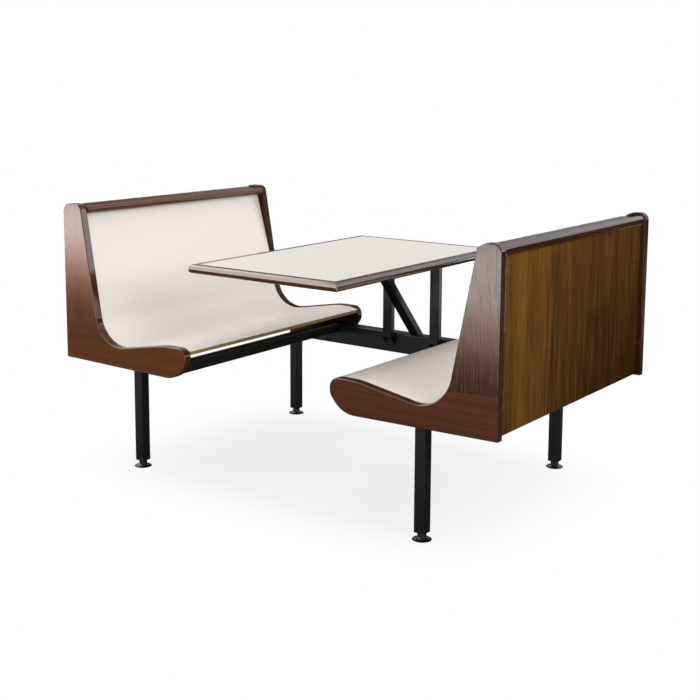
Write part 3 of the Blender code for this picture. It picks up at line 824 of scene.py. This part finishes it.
def makeFrontCloth():  # dark near the booth, lit further off: the end panels' sheen fades downwards
    deselectAll()
    corners = [(cloth["leftX"], cloth["backY"]), (cloth["rightX"], cloth["backY"]),
               (cloth["rightX"], cloth["farY"]), (cloth["leftX"], cloth["farY"])]
    bpy.ops.mesh.primitive_circle_add(vertices=len(corners), fill_type="NGON")
    sheet = bpy.context.object
    for vertex, (x, y) in zip(sheet.data.vertices, corners):
        vertex.co = (x, y, cloth["high"])
    material, tree, shader = newMaterial("frontCloth", {"Base Color": hexLinear(stage["cardBlack"]),
                                                        "Roughness": 1.0})
    place = addNode(tree, "ShaderNodeTexCoord")
    away = addNode(tree, "ShaderNodeVectorMath", {"operation": "DOT_PRODUCT", 1: (cloth["skew"], -1, 0)},
                   {0: place.outputs["Object"]})
    share = addNode(tree, "ShaderNodeMapRange", {"From Min": cloth["near"], "From Max": cloth["far"]},
                    {"Value": away.outputs["Value"]})
    rise = addNode(tree, "ShaderNodeFloatCurve", None, {"Value": share.outputs["Result"]})
    for spot in cloth["rise"]:
        rise.mapping.curves[0].points.new(*spot)
    rise.mapping.update()
    level = addNode(tree, "ShaderNodeMath", {"operation": "MULTIPLY", 1: cloth["level"]},
                    {0: rise.outputs["Value"]})
    warm = addNode(tree, "ShaderNodeValToRGB", None, {"Fac": rise.outputs["Value"]})
    setRamp(warm, cloth["tint"])
    tree.links.new(warm.outputs["Color"], shader.inputs["Emission Color"])
    tree.links.new(level.outputs["Value"], shader.inputs["Emission Strength"])
    sheet.data.materials.append(material)
    glossyOnly(sheet, "front_cloth")


cards = {  # two opposite corners and the glow
    "backdrop_card": ((-14.0, 6.0, 0.9), (0.6, 6.0, 2.1), 0.32),
    "backdrop_dark_card": ((-14.0, 6.1, 2.1), (-2.6, 6.1, 4.5), 0.06),
    "backdrop_high_card": ((-2.6, 6.1, 2.1), (0.6, 6.1, 5.0), 0.8),
    "rear_dark_card": ((-6.0, 4.6, 0.004), (9.0, 4.6, 0.9), 0.0),
    "rear_bright_card": ((0.6, 4.6, 0.95), (3.4, 4.6, 5.0), 2.0),
    "rear_side_card": ((3.6, 4.6, 1.2), (8.5, 4.6, 3.8), 5.0),
    "front_card": ((-8.2, -7.2, 0.01), (-3.4, -7.2, 3.6), 9.0),
    "low_bright_card": ((1.0, 2.6, 0.01), (1.62, 2.6, 0.5), 8.0),
    "ceiling_card": ((-7.0, -7.0, 3.6), (-1.9, 0.9, 3.6), 8.0),
    "side_card": ((2.2, -2.2, 0.05), (6.0, -2.2, 1.3), 10.0),
}


def makeCards():  # mirrored by the caps, the panels' rounded edges, the posts and the table's nosing
    for name, ((left, near, low), (right, far, high), glow) in cards.items():
        deselectAll()
        bpy.ops.mesh.primitive_plane_add(size=1)
        card = bpy.context.object
        corners = ((left, near, low), (right, near, low), (left, far, high), (right, far, high))
        for vertex, corner in zip(card.data.vertices, corners):
            vertex.co = corner
        material = newMaterial("studioCard", {"Base Color": hexLinear(stage["cardBlack"]), "Roughness": 1.0,
                                              "Emission Color": white, "Emission Strength": glow})[0]
        card.data.materials.append(material)
        glossyOnly(card, name)


lamps = {  # place, aim, width and height, watts
    "keySoftbox": ((3.6, -1.4, 2.4), (0, 0, 0.6), (1.8, 1.8), 70),
    "leftSoftbox": ((-3.2, -2.8, 1.8), (0, 0, 0.6), (1.8, 1.8), 27),
    "frontSoftbox": ((2.6, -3.6, 0.9), (-0.6, 0, 0.45), (1.5, 1.0), 25),
    "wallSoftbox": ((0.5, 3.4, 2.3), (-0.7, 0.3, 0.6), (2.0, 2.0), 44),
    "topSoftbox": ((-1.0, 0.2, 3.5), (0, 0, 0.4), (2.6, 2.6), 42),
}


def makeLamps():
    for name, (place, aim, size, watts) in lamps.items():
        bpy.ops.object.light_add(type="AREA", location=place)
        lamp = bpy.context.object
        lamp.name = name
        lamp.data.shape = "RECTANGLE"
        lamp.data.size, lamp.data.size_y = size
        lamp.data.energy = watts
        lamp.visible_camera = False
        lamp.visible_glossy = False    # the cards make the reflections
        lamp.rotation_euler = (Vector(aim) - Vector(place)).to_track_quat("-Z", "Y").to_euler()


view = {"place": (2.4622, -3.3707, 1.3572), "yaw": 0.6295, "pitch": 0.1488, "roll": 0.0053,
        "sensor": 36, "lens": 63.20, "shiftY": -0.1263}


def makeCamera():
    bpy.ops.object.camera_add(location=view["place"])
    camera = bpy.context.object
    camera.data.sensor_width = view["sensor"]
    camera.data.lens = view["lens"]
    camera.data.shift_y = view["shiftY"]
    turn = Matrix.Rotation(view["yaw"], 3, "Z") @ Matrix.Rotation(math.pi / 2 - view["pitch"], 3, "X")
    turn = turn @ Matrix.Rotation(view["roll"], 3, "Z")
    camera.rotation_euler = turn.to_euler()
    bpy.context.scene.camera = camera


makeFloor()
makeFrontCloth()
makeCards()
makeWorld()
makeLamps()
makeCamera()
bpy.context.scene.view_settings.view_transform = "Standard"
print("stage set")
